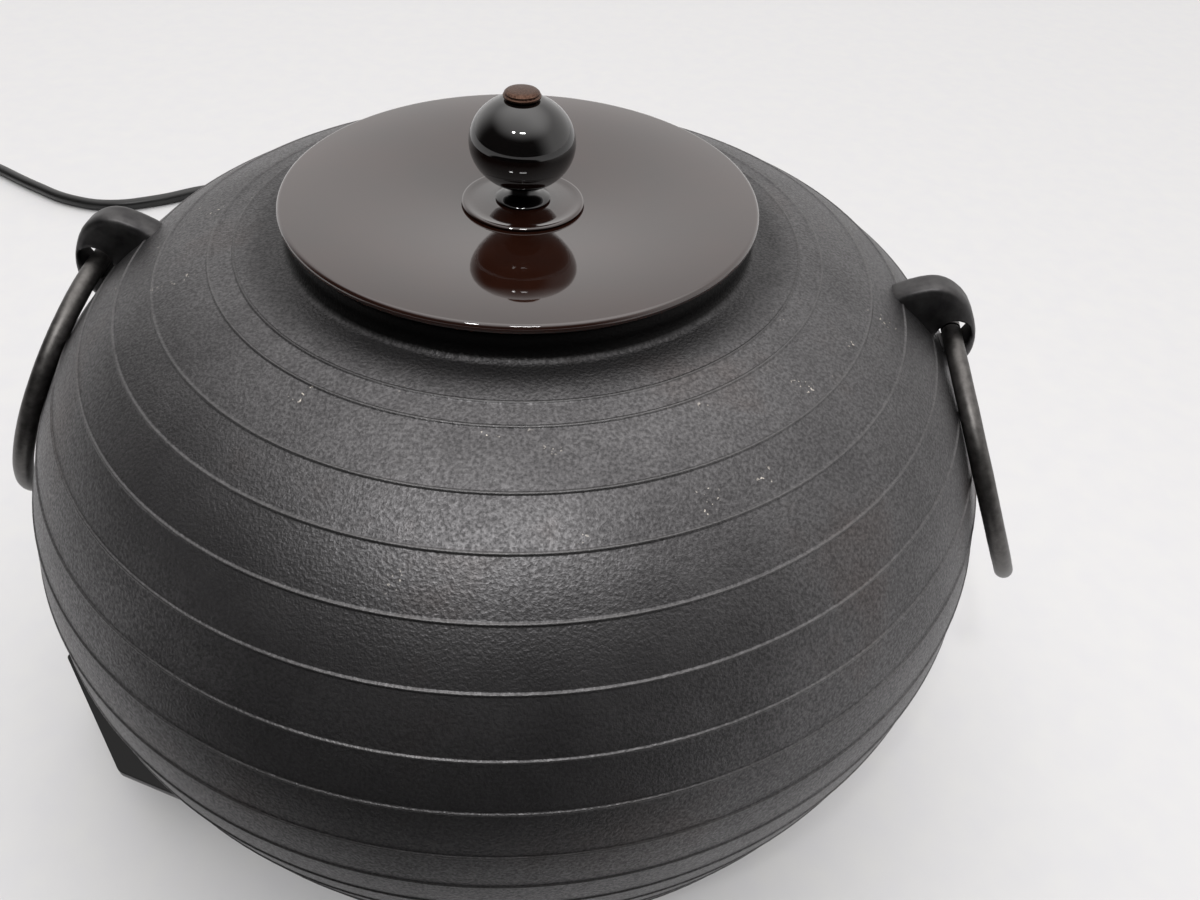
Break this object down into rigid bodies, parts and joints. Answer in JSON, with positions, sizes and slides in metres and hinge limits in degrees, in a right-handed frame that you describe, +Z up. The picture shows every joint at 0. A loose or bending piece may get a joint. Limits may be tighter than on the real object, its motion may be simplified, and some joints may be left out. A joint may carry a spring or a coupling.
{
  "type": "electric tea kettle",
  "caption": "Round cast iron hearth kettle with a dished lacquer lid, ball knob and two hanging iron rings, standing on a low electric heating base with a mains lead.",
  "frame": {"origin": "on the table, in the middle of the box round the kettle and its base, on the kettle's axis", "axes": "+Z up along the kettle's axis, +X to the user's right through the right ring, -Y towards the user; the control console points to -X and the mains lead leaves to +Y"},
  "size_m": [0.6902, 0.5593, 0.224],
  "materials": {
    "cast_iron": "matte",
    "ring_iron": "satin",
    "lacquer": "gloss",
    "knob_black": "gloss",
    "bronze": "satin",
    "brass": "satin",
    "base_gloss": "gloss",
    "pan_enamel": "satin",
    "steel": "satin",
    "mineral": "matte",
    "plate_iron": "satin",
    "bakelite": "satin",
    "amber_lens": "gloss",
    "rubber": "matte",
    "cord": "satin",
    "wire": "satin"
  },
  "bodies": {
    "base": {"base_cover": "base_gloss", "base_pan": "pan_enamel", "reflector_dish": "steel", "insulation_ring": "mineral", "hot_plate": "plate_iron", "heating_element": "steel", "plate_post_1": "steel", "plate_post_2": "steel", "plate_post_3": "steel", "thermostat_body": "bakelite", "rocker_frame": "bakelite", "lamp_lens": "amber_lens", "lamp_body": "bakelite", "terminal_block": "mineral", "thermal_fuse": "steel", "foot_1": "rubber", "foot_2": "rubber", "foot_3": "rubber", "foot_4": "rubber", "base_screw_1": "steel", "base_screw_2": "steel", "base_screw_3": "steel", "base_screw_4": "steel", "strain_relief": "rubber", "lead_supply": "wire", "lead_switch": "wire", "lead_thermostat": "wire", "lead_element": "wire", "lead_fuse_in": "wire", "lead_fuse_out": "wire", "power_cord": "cord", "cord_coil": "cord", "coil_tie": "cord", "plug_body": "cord", "plug_blade_1": "brass", "plug_blade_2": "brass"},
    "kettle": {"kettle_body": "cast_iron", "lug_left": "cast_iron", "lug_right": "cast_iron"},
    "left_ring": {"ring_left": "ring_iron"},
    "right_ring": {"ring_right": "ring_iron"},
    "lid": {"lid_plate": "lacquer", "lid_seat_ring": "lacquer", "knob_washer": "knob_black", "knob_ball": "knob_black", "knob_finial": "bronze", "knob_pin": "brass", "knob_lock_washer": "brass", "knob_nut": "brass"},
    "dial": {"control_dial": "bakelite", "thermostat_shaft": "steel"},
    "rocker": {"rocker_paddle": "bakelite"}
  },
  "joints": [
    {"name": "kettle_lift", "type": "slide", "parent": "base", "child": "kettle", "axis": [0, 0, 1], "range_m": [0, 0.15]},
    {"name": "lid_lift", "type": "slide", "parent": "kettle", "child": "lid", "axis": [0, 0, 1], "range_m": [0, 0.08]},
    {"name": "left_ring_swing", "type": "hinge", "parent": "kettle", "child": "left_ring", "pos_m": [-0.12079, 0.00718, 0.1673], "axis": [0.0087, 1, 0], "range_deg": [0, 125]},
    {"name": "right_ring_swing", "type": "hinge", "parent": "kettle", "child": "right_ring", "pos_m": [0.12054, -0.01055, 0.1673], "axis": [-0.1564, -0.9877, 0], "range_deg": [0, 125]},
    {"name": "dial_turn", "type": "hinge", "parent": "base", "child": "dial", "pos_m": [-0.11594, -0.05655, 0.03], "axis": [0, 0, -1], "range_deg": [0, 270]},
    {"name": "rocker_tilt", "type": "hinge", "parent": "base", "child": "rocker", "pos_m": [-0.12932, -0.03105, 0.0244], "axis": [-0.2334, 0.9724, 0], "range_deg": [0, 16]}
  ]
}
